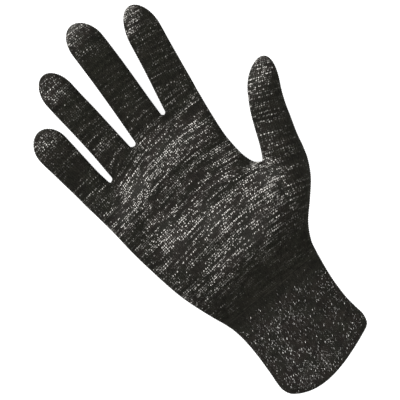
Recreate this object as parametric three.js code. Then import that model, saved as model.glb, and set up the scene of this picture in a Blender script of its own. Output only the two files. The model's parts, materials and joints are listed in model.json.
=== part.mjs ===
// Seamless knitted work glove for the right hand, lying on its back with the palm up.
// Millimetres. +Y runs to the fingertips, +X to the thumb's side and +Z up out of the palm.
// The tables are measured from the middle of the cuff's mouth. The origin of the finished
// glove lies under the middle of its outline, on the surface that it rests on.

import * as THREE from 'three';
import { mergeVertices } from 'three/addons/utils/BufferGeometryUtils.js';

// Driving dimensions
const knitWall = 1.4;
const cuffWall = 1.7;
const joinGap = 0.35;
const stubLength = 4;
const middleAcross = 10.8;
const middleUp = 119.9;

// Rows of the knitting: where the cuff ends, and where the thumb and the fingers branch off
const cuffEnd = 52;
const thumbCrotch = { x: 42.5, y: 116 };
const thumbSide = { x: 67.8, y: 107.2 };
const thumbRowLeft = 117;
const fingerKnots = [
  { x: -58.2, y: 160 },
  { x: -37.5, y: 162.2 },
  { x: -12.4, y: 170.8 },
  { x: 13.3, y: 174.7 },
  { x: 38.6, y: 175 },
];

// Stitches across one side of each tube, which share out the width of the palm: the little,
// ring, middle and index fingers, and the thumb
const fingerStitches = [11, 12, 14, 13];
const handStitches = 50;
const thumbStitches = 12;

// Both sides of the hand, up from the cuff: the little finger's side and the thumb's side
const leftOutline = [
  { y: cuffEnd, x: -36 },
  { y: 60, x: -39.3 },
  { y: 70, x: -43 },
  { y: 80, x: -46.2 },
  { y: 90, x: -48.5 },
  { y: 105, x: -51.1 },
  { y: 120, x: -53.3 },
  { y: 140, x: -55.3 },
  fingerKnots[0],
];
const thumbOutline = [
  { y: cuffEnd, x: 34.9 },
  { y: 60, x: 36.8 },
  { y: 70, x: 42.4 },
  { y: 80, x: 51.5 },
  { y: 90, x: 60 },
  { y: 100, x: 65.5 },
  thumbSide,
];
const indexOutline = [
  thumbCrotch,
  { y: 118.6, x: 39 },
  { y: 124, x: 36.7 },
  { y: 130, x: 35.6 },
  { y: 142, x: 35 },
  { y: 158, x: 36.4 },
  fingerKnots[4],
];

// Heights of the hand along its middle: the palm side, and the seamless side edge
const fingerRowY = 172;
const handHeights = [
  { y: cuffEnd, top: 24.5, side: 11.5 },
  { y: 68, top: 24, side: 11 },
  { y: 90, top: 25.5, side: 11 },
  { y: thumbRowLeft, top: 23.5, side: 10.5 },
  { y: 145, top: 21.5, side: 9.5 },
  { y: fingerRowY, top: 17, side: 8 },
];

// Soft mounds and hollows of the palm: middle, reach along and across a turned axis, and rise
const mounds = {
  thumbBall: { x: 37, y: 92, long: 27, wide: 17, turn: 62, rise: 5 },
  heel: { x: -28, y: 96, long: 32, wide: 17, turn: 98, rise: 3 },
  hollow: { x: -4, y: 121, long: 24, wide: 19, turn: 20, rise: -3 },
  crease: { x: -14, y: 139, long: 30, wide: 6, turn: 8, rise: -1.2 },
  littlePad: { x: -41, y: 148, long: 11, wide: 9, turn: 30, rise: 1.6 },
  ringPad: { x: -20, y: 155, long: 11, wide: 9, turn: 20, rise: 1.8 },
  middlePad: { x: 2, y: 160, long: 12, wide: 9, turn: 12, rise: 1.9 },
  indexPad: { x: 24, y: 159, long: 12, wide: 11, turn: 5, rise: 2 },
};

// How far in from an edge the sections are rounded, and how deep the webs between tubes curve
const handCorner = 21;
const fingerCorner = 12;
const thumbCorner = 14;
const fingerBlend = 38;
const fingerWeb = 13;
const thumbBlend = 46;
const thumbWeb = 24;
const underFlat = 1.14;

// Finger tubes: the axis from root to tip, the rounded cap, and rows along the axis with the
// width square to it, the middle's offset to the thumb's side, and the heights
const tubes = {
  little_finger: {
    corner: fingerCorner,
    knots: [fingerKnots[0], fingerKnots[1]],
    crotches: [false, true],
    root: { x: -47.6, y: 161 },
    tip: { x: -53.2, y: 213.2 },
    cap: 13.5,
    fan: 16,
    slot: 1.9,
    rows: [
      { along: 0, width: 20.4, bow: -0.5, top: 17, side: 8, under: 0 },
      { along: 10, width: 20, bow: -0.8, top: 16.2, side: 7.8, under: 0 },
      { along: 20, width: 20.6, bow: -0.9, top: 15, side: 7.5, under: 0 },
      { along: 28, width: 21.1, bow: -0.9, top: 15.3, side: 7.4, under: 0 },
      { along: 36, width: 21.7, bow: -1, top: 14.3, side: 7.3, under: 0.1 },
      { along: 44, width: 21.7, bow: -0.8, top: 14.6, side: 7.3, under: 0.5 },
      { along: 53, width: 21.4, bow: -0.4, top: 14.2, side: 7.4, under: 1 },
    ],
  },
  ring_finger: {
    corner: fingerCorner,
    knots: [fingerKnots[1], fingerKnots[2]],
    crotches: [true, true],
    root: { x: -24.9, y: 166.8 },
    tip: { x: -29.7, y: 238.6 },
    cap: 15.5,
    fan: 18,
    slot: 1.9,
    rows: [
      { along: 0, width: 21, bow: 0, top: 17, side: 8, under: 0 },
      { along: 14, width: 20.4, bow: 0.1, top: 16.4, side: 7.9, under: 0 },
      { along: 26, width: 20.3, bow: 0, top: 15.1, side: 7.6, under: 0 },
      { along: 37, width: 20.4, bow: -0.2, top: 15.6, side: 7.5, under: 0 },
      { along: 48, width: 20.4, bow: -0.6, top: 14.4, side: 7.3, under: 0.1 },
      { along: 60, width: 20.4, bow: -0.7, top: 14.9, side: 7.3, under: 0.6 },
      { along: 72, width: 20.2, bow: -0.5, top: 14.2, side: 7.5, under: 1.3 },
    ],
  },
  middle_finger: {
    corner: fingerCorner,
    knots: [fingerKnots[2], fingerKnots[3]],
    crotches: [true, true],
    root: { x: 0.6, y: 174.8 },
    tip: { x: 2.9, y: 251.9 },
    cap: 16,
    fan: 18,
    slot: 1.9,
    rows: [
      { along: 0, width: 22.8, bow: 0, top: 17, side: 8, under: 0 },
      { along: 15, width: 22.4, bow: 0.2, top: 16.8, side: 8, under: 0 },
      { along: 28, width: 22.4, bow: 0.4, top: 15.4, side: 7.8, under: 0 },
      { along: 40, width: 22.4, bow: 0.5, top: 16, side: 7.6, under: 0 },
      { along: 52, width: 22.4, bow: 0.4, top: 14.7, side: 7.4, under: 0.1 },
      { along: 65, width: 22.3, bow: 0.1, top: 15.2, side: 7.5, under: 0.6 },
      { along: 77.2, width: 22.4, bow: -0.6, top: 14.5, side: 7.6, under: 1.4 },
    ],
  },
  index_finger: {
    corner: fingerCorner,
    knots: [fingerKnots[3], fingerKnots[4]],
    crotches: [true, false],
    root: { x: 26.3, y: 176.3 },
    tip: { x: 36.8, y: 239.7 },
    cap: 19,
    fan: 15,
    slot: 1.9,
    rows: [
      { along: 0, width: 23.2, bow: 0.4, top: 17, side: 8, under: 0 },
      { along: 12, width: 23, bow: 0.7, top: 16.7, side: 8, under: 0 },
      { along: 23, width: 22.4, bow: 0.8, top: 15.2, side: 7.7, under: 0 },
      { along: 33, width: 22.1, bow: 0.8, top: 15.8, side: 7.6, under: 0 },
      { along: 43, width: 22, bow: 0.8, top: 14.6, side: 7.4, under: 0.1 },
      { along: 54, width: 21.6, bow: 0.9, top: 15.1, side: 7.5, under: 0.7 },
      { along: 64.3, width: 21.6, bow: 0.6, top: 14.4, side: 7.6, under: 1.4 },
    ],
  },
  thumb: {
    corner: thumbCorner,
    knots: [thumbCrotch, thumbSide],
    crotches: [true, false],
    root: { x: 56.3, y: 111.8 },
    tip: { x: 79.7, y: 167.2 },
    cap: 19.5,
    fan: 12,
    slot: 3,
    rows: [
      { along: 0, width: 25.6, bow: -0.8, top: 23.5, side: 10.5, under: 0 },
      { along: 8, width: 24, bow: -1.1, top: 22, side: 10.2, under: 0 },
      { along: 20, width: 23.1, bow: -1.8, top: 18.9, side: 9.6, under: 0 },
      { along: 30, width: 22, bow: -2.2, top: 17.6, side: 9.1, under: 0.1 },
      { along: 40, width: 20.8, bow: -1.6, top: 16.9, side: 8.8, under: 0.5 },
      { along: 50, width: 20.4, bow: 0, top: 17, side: 8.8, under: 1.1 },
      { along: 61, width: 20.2, bow: 2.6, top: 16, side: 8.8, under: 1.8 },
    ],
  },
};

// The cuff: its two sides up from the mouth, which is drawn in a little, and its heights
const cuffLeft = [
  { y: -7, x: -28.4 },
  { y: -4, x: -31.3 },
  { y: 1, x: -32.9 },
  { y: 12, x: -32.4 },
  { y: 26, x: -32 },
  { y: 38, x: -32.6 },
  { y: 46, x: -34 },
  { y: 52, x: -36 },
];
const cuffRight = [
  { y: -2.5, x: 30.4 },
  { y: 0.6, x: 33 },
  { y: 6, x: 34.1 },
  { y: 12, x: 33.2 },
  { y: 20, x: 32.3 },
  { y: 32, x: 32.4 },
  { y: 42, x: 33.4 },
  { y: 52, x: 34.9 },
];
const cuffHeights = [
  { share: 0, top: 23, side: 12, under: 1.6 },
  { share: 0.05, top: 24.6, side: 12, under: 0.6 },
  { share: 0.13, top: 25.4, side: 12, under: 0 },
  { share: 0.5, top: 24.8, side: 11.8, under: 0 },
  { share: 1, top: 24.5, side: 11.5, under: 0 },
];
const cuffCorner = 22;
const mouthBulge = { depth: 6.9, skew: 0.8, fade: 0.7 };

// Facets: sides of a finger tube, columns across one tube of the palm, and rows
const facets = { fingerSide: 8, palmColumn: 6, cuffSide: 20 };
const palmLowerRows = 7;
const palmUpperRows = 7;
const stubRows = [0, 1.1, stubLength];
const cuffRowShares = [0, 0.03, 0.07, 0.14, 0.3, 0.5, 0.75, 1];
const capTurns = [0, 25, 48, 68, 82];
const fingerStep = 9;

// Curves and interpolation

function clamp(value) {
  return Math.min(Math.max(value, 0), 1);
}

function lerp(a, b, share) {
  return a + (b - a) * share;
}

function between(a, b, share) {
  return { x: lerp(a.x, b.x, share), y: lerp(a.y, b.y, share) };
}

function distance(a, b) {
  return Math.hypot(b.x - a.x, b.y - a.y);
}

// Level at both ends
function ease(value) {
  const share = clamp(value);
  return share * share * (3 - 2 * share);
}

// A quarter of an ellipse: it leaves 0 straight up and is level at 1
function quarter(value) {
  return Math.sqrt(1 - (1 - clamp(value)) ** 2);
}

// A smooth curve through one column of a table, by the values of another column
function tableAt(rows, by, place, column) {
  const last = rows.length - 1;
  const held = Math.min(Math.max(place, rows[0][by]), rows[last][by]);
  let i = 0;
  while (i < last - 1 && held > rows[i + 1][by]) i += 1;
  const slope = (j) => {
    const from = rows[Math.max(j - 1, 0)];
    const to = rows[Math.min(j + 1, last)];
    return (to[column] - from[column]) / (to[by] - from[by]);
  };
  const span = rows[i + 1][by] - rows[i][by];
  const t = (held - rows[i][by]) / span;
  const startBend = slope(i) * span;
  const endBend = slope(i + 1) * span;
  const rise = rows[i + 1][column] - rows[i][column];
  return rows[i][column] + t * startBend + t * t * (3 * rise - 2 * startBend - endBend)
    + t * t * t * (startBend + endBend - 2 * rise);
}

// One side of a tube's section, walked at an even pace from edge to edge: the share of the
// width that is crossed, and how far in from the nearer edge it is as a share of the corner
function sectionAt(walk, width, rise, corner) {
  const reach = Math.min(corner, width / 2);
  const cornerArc = (Math.PI / 2) * Math.sqrt((reach * reach + rise * rise) / 2);
  const flat = width - 2 * reach;
  const nearer = Math.min(walk, 1 - walk) * (2 * cornerArc + flat);
  const turn = Math.min(nearer / cornerArc, 1) * (Math.PI / 2);
  const inset = 1 - Math.cos(turn);
  const crossed = inset * reach + Math.max(nearer - cornerArc, 0);
  const across = walk <= 0.5 ? crossed / width : 1 - crossed / width;
  return { across, inset };
}

// Rise of all mounds and hollows at one place of the palm
function moundAt(x, y) {
  let total = 0;
  for (const mound of Object.values(mounds)) {
    const turn = THREE.MathUtils.degToRad(mound.turn);
    const dx = x - mound.x;
    const dy = y - mound.y;
    const along = (dx * Math.cos(turn) + dy * Math.sin(turn)) / mound.long;
    const aside = (dy * Math.cos(turn) - dx * Math.sin(turn)) / mound.wide;
    total += mound.rise * Math.exp(-(along * along + aside * aside));
  }
  return total;
}

// A point of the knitted skin. fullness is 0 at the side edge and 1 where the section is full.
function skinPoint(plan, fullness, heights, upper) {
  if (upper) {
    const rise = (heights.top - heights.side) * fullness;
    const z = heights.side + rise + moundAt(plan.x, plan.y) * fullness * fullness;
    return new THREE.Vector3(plan.x, plan.y, z);
  }
  const drop = (heights.side - heights.under) * Math.min(fullness * underFlat, 1);
  return new THREE.Vector3(plan.x, plan.y, heights.side - drop);
}

// The hand between two rows where tubes branch off. Low down it is one wide section. Towards
// the upper row it parts into the branches, and a web curves down between each two of them.
const handParts = {
  lower: {
    left: (share) => outlinePoint(leftOutline, lerp(cuffEnd, thumbRowLeft, share)),
    right: (share) => outlinePoint(thumbOutline, lerp(cuffEnd, thumbSide.y, share)),
    knots: [outlinePoint(leftOutline, thumbRowLeft), thumbCrotch, thumbSide],
    corners: [handCorner, thumbCorner],
    counts: [handStitches, thumbStitches],
    startY: cuffEnd,
    endY: thumbRowLeft,
    blend: thumbBlend,
    web: thumbWeb,
  },
  upper: {
    left: (share) => outlinePoint(leftOutline, lerp(thumbRowLeft, fingerKnots[0].y, share)),
    right: (share) => outlinePoint(indexOutline, lerp(thumbCrotch.y, fingerKnots[4].y, share)),
    knots: fingerKnots,
    corners: [fingerCorner, fingerCorner, fingerCorner, fingerCorner],
    counts: fingerStitches,
    startY: thumbRowLeft,
    endY: fingerRowY,
    blend: fingerBlend,
    web: fingerWeb,
  },
};

function outlinePoint(rows, y) {
  return { x: tableAt(rows, 'y', y, 'x'), y };
}

function handHeightsAt(y) {
  return {
    top: tableAt(handHeights, 'y', y, 'top'),
    side: tableAt(handHeights, 'y', y, 'side'),
    under: 0,
  };
}

function handPoint(part, branch, walk, share, upper) {
  const heights = handHeightsAt(lerp(part.startY, part.endY, share));
  const ending = handHeightsAt(part.endY);
  const total = part.counts.reduce((sum, count) => sum + count, 0);
  const before = part.counts.slice(0, branch).reduce((sum, count) => sum + count, 0);
  const handWalk = (before + walk * part.counts[branch]) / total;

  const left = part.left(share);
  const right = part.right(share);
  const rise = heights.top - heights.side;
  const wide = sectionAt(handWalk, distance(left, right), rise, handCorner);
  const lastLeft = part.left(1);
  const lastRight = part.right(1);
  const endRise = ending.top - ending.side;
  const wideLast = sectionAt(handWalk, distance(lastLeft, lastRight), endRise, handCorner);

  const from = part.knots[branch];
  const to = part.knots[branch + 1];
  const own = sectionAt(walk, distance(from, to), endRise, part.corners[branch]);
  const onBranch = between(from, to, own.across);
  const onWide = between(lastLeft, lastRight, wideLast.across);

  const below = (1 - share) * (part.endY - part.startY);
  const parted = 1 - ease(below / part.blend);
  const row = between(left, right, wide.across);
  const plan = {
    x: row.x + parted * (onBranch.x - onWide.x),
    y: row.y + parted * (onBranch.y - onWide.y),
  };

  const firstHalf = walk < 0.5;
  const outerEdge = firstHalf ? branch === 0 : branch === part.counts.length - 1;
  const outer = outerEdge ? quarter(own.inset) : 1;
  const inner = outerEdge ? 1 : quarter(Math.hypot(own.inset, below / part.web));
  const fullness = lerp(quarter(wide.inset), outer, parted) * inner;
  return skinPoint(plan, fullness, heights, upper);
}

// A tube that leaves the hand: its first row lies along the hand's last row, and its rows turn
// square to the tube over the length of the fan
function tubeAxis(tube) {
  const length = distance(tube.root, tube.tip);
  const along = { x: (tube.tip.x - tube.root.x) / length, y: (tube.tip.y - tube.root.y) / length };
  return { length, along, aside: { x: along.y, y: -along.x } };
}

function tubeEdge(tube, place, side) {
  const axis = tubeAxis(tube);
  const capStart = axis.length - tube.cap;
  const capShare = clamp((place - capStart) / tube.cap);
  const full = Math.sqrt(Math.max(1 - capShare * capShare, 0));
  const width = tableAt(tube.rows, 'along', place, 'width') * full;
  const offset = tableAt(tube.rows, 'along', place, 'bow') + (side * width) / 2;
  return {
    x: tube.root.x + axis.along.x * place + axis.aside.x * offset,
    y: tube.root.y + axis.along.y * place + axis.aside.y * offset,
  };
}

function tubeEnds(tube, place) {
  const axis = tubeAxis(tube);
  return [-1, 1].map((side, i) => {
    const knot = tube.knots[i];
    const offset = { x: knot.x - tube.root.x, y: knot.y - tube.root.y };
    const start = offset.x * axis.along.x + offset.y * axis.along.y;
    const reached = place + start * (1 - ease(place / tube.fan));
    const edge = tubeEdge(tube, reached, side);
    const first = tubeEdge(tube, start, side);
    const held = tube.crotches[i] ? 1 - quarter(place / tube.slot) : 1 - ease(place / tube.fan);
    return { x: edge.x + (knot.x - first.x) * held, y: edge.y + (knot.y - first.y) * held };
  });
}

function tubePoint(tube, place, walk, upper) {
  const axis = tubeAxis(tube);
  const [left, right] = tubeEnds(tube, place);
  const capShare = clamp((place - axis.length + tube.cap) / tube.cap);
  const full = Math.sqrt(Math.max(1 - capShare * capShare, 0));
  const side = tableAt(tube.rows, 'along', place, 'side');
  const top = tableAt(tube.rows, 'along', place, 'top');
  const under = Math.max(tableAt(tube.rows, 'along', place, 'under'), 0);
  const heights = { side, top: lerp(side, top, full), under: lerp(side, under, full) };
  const width = distance(left, right);
  if (width < 0.01) return new THREE.Vector3(left.x, left.y, side);
  const first = tube.rows[0];
  const own = sectionAt(walk, width, first.top - first.side, tube.corner);
  return skinPoint(between(left, right, own.across), quarter(own.inset), heights, upper);
}

// The cuff's mouth bulges away from the hand between its two sides
function cuffPoint(walk, share, upper) {
  const end = cuffEnd - joinGap;
  const leftY = lerp(cuffLeft[0].y, end, share);
  const rightY = lerp(cuffRight[0].y, end, share);
  const left = { x: tableAt(cuffLeft, 'y', leftY, 'x'), y: leftY };
  const right = { x: tableAt(cuffRight, 'y', rightY, 'x'), y: rightY };
  const heights = {
    top: tableAt(cuffHeights, 'share', share, 'top'),
    side: tableAt(cuffHeights, 'share', share, 'side'),
    under: Math.max(tableAt(cuffHeights, 'share', share, 'under'), 0),
  };
  const own = sectionAt(walk, distance(left, right), heights.top - heights.side, cuffCorner);
  const plan = between(left, right, own.across);
  const bulge = Math.sin(Math.PI * own.across ** mouthBulge.skew) * (1 - ease(share / mouthBulge.fade));
  plan.y -= mouthBulge.depth * bulge;
  return skinPoint(plan, quarter(own.inset), heights, upper);
}

// Meshes

// Joins rows of points with triangles, with the outer face up for the palm side
function addSheet(triangles, rows, upper) {
  for (let i = 0; i + 1 < rows.length; i += 1) {
    for (let j = 0; j + 1 < rows[i].length; j += 1) {
      const [a, b, c, d] = [rows[i][j], rows[i][j + 1], rows[i + 1][j + 1], rows[i + 1][j]];
      const faces = upper ? [[a, b, c], [a, c, d]] : [[a, c, b], [a, d, c]];
      triangles.push(...faces);
    }
  }
}

// Welds a list of triangles, and drops those that have no area
function weld(triangles) {
  const positions = triangles.flatMap((face) => face.flatMap((p) => [p.x, p.y, p.z]));
  const loose = new THREE.BufferGeometry();
  loose.setAttribute('position', new THREE.Float32BufferAttribute(positions, 3));
  const welded = mergeVertices(loose, 0.001);
  const index = Array.from(welded.index.array);
  const faces = [];
  for (let i = 0; i < index.length; i += 3) {
    const [a, b, c] = index.slice(i, i + 3);
    if (a !== b && b !== c && c !== a) faces.push([a, b, c]);
  }
  const place = welded.getAttribute('position');
  const points = [];
  for (let i = 0; i < place.count; i += 1) {
    points.push(new THREE.Vector3().fromBufferAttribute(place, i));
  }
  return { points, faces };
}

// Gives an open skin a wall: an inner skin at the wall's depth, and a flat ring at each mouth
function thicken(skin, wall, mouths) {
  const normals = skin.points.map(() => new THREE.Vector3());
  const edges = new Map();
  for (const [a, b, c] of skin.faces) {
    const ab = skin.points[b].clone().sub(skin.points[a]);
    const ac = skin.points[c].clone().sub(skin.points[a]);
    const face = ab.cross(ac);
    for (const corner of [a, b, c]) normals[corner].add(face);
    for (const [from, to] of [[a, b], [b, c], [c, a]]) edges.set(`${from},${to}`, [from, to]);
  }
  const rim = [...edges.values()].filter(([from, to]) => !edges.has(`${to},${from}`));
  const onRim = new Set(rim.flat());
  const inner = skin.points.map((point, i) => {
    const inward = normals[i].clone();
    if (onRim.has(i)) {
      const mouthPlane = mouths.find((m) => Math.abs(m.distanceToPoint(point)) < 0.02);
      if (mouthPlane) inward.projectOnPlane(mouthPlane.normal);
    }
    return point.clone().addScaledVector(inward.normalize(), -wall);
  });
  const count = skin.points.length;
  const faces = skin.faces.flatMap(([a, b, c]) => [[a, b, c], [a + count, c + count, b + count]]);
  for (const [from, to] of rim) {
    faces.push([from, from + count, to], [to, from + count, to + count]);
  }
  return { points: [...skin.points, ...inner], faces };
}

function meshOf(name, body) {
  const geometry = new THREE.BufferGeometry();
  const positions = body.points.flatMap((p) => [p.x, p.y, p.z]);
  geometry.setAttribute('position', new THREE.Float32BufferAttribute(positions, 3));
  geometry.setIndex(body.faces.flat());
  geometry.computeVertexNormals();
  const yarn = new THREE.MeshStandardMaterial({ color: 0x2f2d2a, roughness: 0.95, metalness: 0 });
  const mesh = new THREE.Mesh(geometry, yarn);
  mesh.name = name;
  return mesh;
}

function steps(count) {
  return Array.from({ length: count + 1 }, (_, i) => i / count);
}

// The upright plane that a tube's row lies in
function rowPlane(tube, place) {
  const [left, right] = tubeEnds(tube, place);
  const normal = new THREE.Vector3(left.y - right.y, right.x - left.x, 0).normalize();
  return new THREE.Plane().setFromNormalAndCoplanarPoint(
    normal,
    new THREE.Vector3(left.x, left.y, 0),
  );
}

function makeTube(name, tube) {
  const { length } = tubeAxis(tube);
  const start = stubLength + joinGap;
  const capStart = length - tube.cap;
  const rowCount = Math.round((capStart - start) / fingerStep);
  const places = steps(rowCount).map((share) => lerp(start, capStart, share));
  for (const turn of capTurns.slice(1)) {
    places.push(capStart + tube.cap * Math.sin(THREE.MathUtils.degToRad(turn)));
  }
  places.push(length);
  const triangles = [];
  for (const upper of [true, false]) {
    const rows = places.map((place) => steps(facets.fingerSide)
      .map((walk) => tubePoint(tube, place, walk, upper)));
    addSheet(triangles, rows, upper);
  }
  return meshOf(name, thicken(weld(triangles), knitWall, [rowPlane(tube, start)]));
}

function makePalm() {
  const triangles = [];
  const columns = steps(facets.palmColumn);
  for (const upper of [true, false]) {
    for (const [part, rowCount] of [[handParts.lower, palmLowerRows], [handParts.upper, palmUpperRows]]) {
      part.counts.forEach((_, branch) => {
        const walks = part === handParts.lower && branch === 0 ? palmWalks() : columns;
        const rows = steps(rowCount).map((share) => walks
          .map((walk) => handPoint(part, branch, walk, share, upper)));
        addSheet(triangles, rows, upper);
      });
    }
    for (const tube of Object.values(tubes)) {
      const rows = stubRows.map((place) => columns
        .map((walk) => tubePoint(tube, place, walk, upper)));
      addSheet(triangles, rows, upper);
    }
  }
  const mouths = Object.values(tubes).map((tube) => rowPlane(tube, stubLength));
  mouths.push(new THREE.Plane(new THREE.Vector3(0, 1, 0), -cuffEnd));
  return meshOf('palm', thicken(weld(triangles), knitWall, mouths));
}

// Below the thumb's row the four fingers' columns run on side by side
function palmWalks() {
  const walks = [0];
  let before = 0;
  for (const count of fingerStitches) {
    for (const share of steps(facets.palmColumn).slice(1)) {
      walks.push((before + share * count) / handStitches);
    }
    before += count;
  }
  return walks;
}

function makeCuff() {
  const triangles = [];
  for (const upper of [true, false]) {
    const rows = cuffRowShares.map((share) => steps(facets.cuffSide)
      .map((walk) => cuffPoint(walk, share, upper)));
    addSheet(triangles, rows, upper);
  }
  const joint = new THREE.Plane(new THREE.Vector3(0, 1, 0), -(cuffEnd - joinGap));
  return meshOf('cuff', thicken(weld(triangles), cuffWall, [joint]));
}

const glove = new THREE.Group();
glove.add(makeCuff(), makePalm());
for (const [name, tube] of Object.entries(tubes)) glove.add(makeTube(name, tube));
glove.position.set(-middleAcross, -middleUp, 0);

export default glove;
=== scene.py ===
import json
import math
from functools import partial, reduce

import bpy
import numpy as np
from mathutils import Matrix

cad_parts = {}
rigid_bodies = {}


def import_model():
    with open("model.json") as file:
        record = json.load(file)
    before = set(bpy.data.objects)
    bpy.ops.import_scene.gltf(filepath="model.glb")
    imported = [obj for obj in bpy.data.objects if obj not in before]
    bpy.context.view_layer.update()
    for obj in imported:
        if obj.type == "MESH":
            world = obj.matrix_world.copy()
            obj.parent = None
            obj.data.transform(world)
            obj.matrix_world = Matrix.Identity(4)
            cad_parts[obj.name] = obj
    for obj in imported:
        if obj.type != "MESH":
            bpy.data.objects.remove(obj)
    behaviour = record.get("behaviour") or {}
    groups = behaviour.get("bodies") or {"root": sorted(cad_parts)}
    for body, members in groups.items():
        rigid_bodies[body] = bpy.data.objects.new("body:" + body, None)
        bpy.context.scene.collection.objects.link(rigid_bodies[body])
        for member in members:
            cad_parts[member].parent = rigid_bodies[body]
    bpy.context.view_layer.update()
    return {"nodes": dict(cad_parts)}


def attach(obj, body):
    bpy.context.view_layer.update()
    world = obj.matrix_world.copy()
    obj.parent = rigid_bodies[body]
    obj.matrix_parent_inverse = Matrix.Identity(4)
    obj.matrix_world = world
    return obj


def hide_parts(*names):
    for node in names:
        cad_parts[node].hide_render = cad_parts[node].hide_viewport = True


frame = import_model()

# A seamless knitted work glove, right hand, palm up, lying on its back. Tables are in
# millimetres from the middle of the cuff's mouth: x to the thumb's side, y to the fingertips.
random = np.random.default_rng(7)
millimetre = 0.001                   # in Blender's metres
print("frame:", ", ".join(sorted(frame["nodes"])))


def table(columns, *rows):
    return dict(zip(columns.split(), np.array(rows, float).T))


knit = {
    "middle": (10.8, 119.9, 0.0),    # the finished glove's origin, in the tables' millimetres
    "wall": 1.4,
    "lowerCourses": 50,              # rows from the wrist to the root of the thumb
    "upperCourses": 43,              # and from there to the roots of the fingers
    "stubCourses": 3,                # rows of a finger that belong to the hand's piece
    "courseHeight": 1.3,
    "stitchPoints": (4, 3),          # points of the mesh across a stitch and along it
    "zigzag": (1.0, 0.0, -1.0, 0.0), # which way the legs lean at those points
    "lean": -0.62,                   # how far a leg of a stitch climbs, in rows
    "zigzagFade": 2,                 # stitches over which it starts, beside an edge that runs straight
    "waleCrests": (0.3, 1.0, 0.1, 1.0), "courseCrests": (0.15, 0.85, 1.0),    # heights over a stitch
    "evenCrest": 0.75,               # and their height where the knit runs straight
    "depth": 0.42, "wobble": 0.05,   # depth of the grooves between the legs, and how uneven it is
    "tipFade": 4,                    # rows over which the grooves end at a tip
    "scatter": 0.0,                  # share of the white that shows as single stitches, not in runs
    "tipScatter": 0.5, "tipRows": 17,   # and the most of it, at the fingertips
}

hand = {
    "left": table("y x", (52, -36), (60, -39.3), (70, -43), (80, -46.2), (90, -48.5), (105, -51.1),
                  (120, -53.3), (140, -55.3), (160, -58.2)),
    "thumbSide": table("y x", (52, 34.9), (60, 36.8), (70, 42.4), (80, 51.5), (90, 60),
                       (100, 65.5), (107.2, 67.8)),
    "indexSide": table("y x", (116, 42.5), (118.6, 39), (124, 36.7), (130, 35.6), (142, 35),
                       (158, 36.4), (175, 38.6)),
    "heights": table("y top side", (52, 24.5, 11.5), (68, 24, 11), (90, 25.5, 11), (117, 23.5, 10.5),
                     (145, 21.5, 9.5), (172, 17, 8)),
    "mounds": table("x y long wide turn rise",
                    (37, 92, 27, 17, 62, 5),         # ball of the thumb
                    (-28, 96, 32, 17, 98, 3),        # heel
                    (-4, 121, 24, 19, 20, -3),       # hollow
                    (-14, 139, 30, 6, 8, -1.2),      # crease under the fingers
                    (-41, 148, 11, 9, 30, 1.6),      # pads of the fingers
                    (-20, 155, 11, 9, 20, 1.8),
                    (2, 160, 12, 9, 12, 1.9),
                    (24, 159, 12, 11, 5, 2)),
    "wristY": 52, "thumbY": 117, "fingersY": 172,      # the wrist, and the rows where tubes branch off
    "leftY": 112,                    # the left end of the thumb's row
    "stitches": 50,
    "corner": 21,                    # how far in from the edge the side is round
    "underFlat": 1.14,               # how soon the underside lies flat
    "bow": 5, "bowSkew": 1.4,        # the rows rise by this towards the middle of the palm
    "droop": 3,                      # and hang by this at its left side
}
fingerKnots = np.array([(-58.2, 160), (-37.5, 162.2), (-12.4, 170.8), (13.3, 174.7), (38.6, 175)])
thumbKnots = np.array([(42.5, 116), (67.8, 107.2)])

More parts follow.
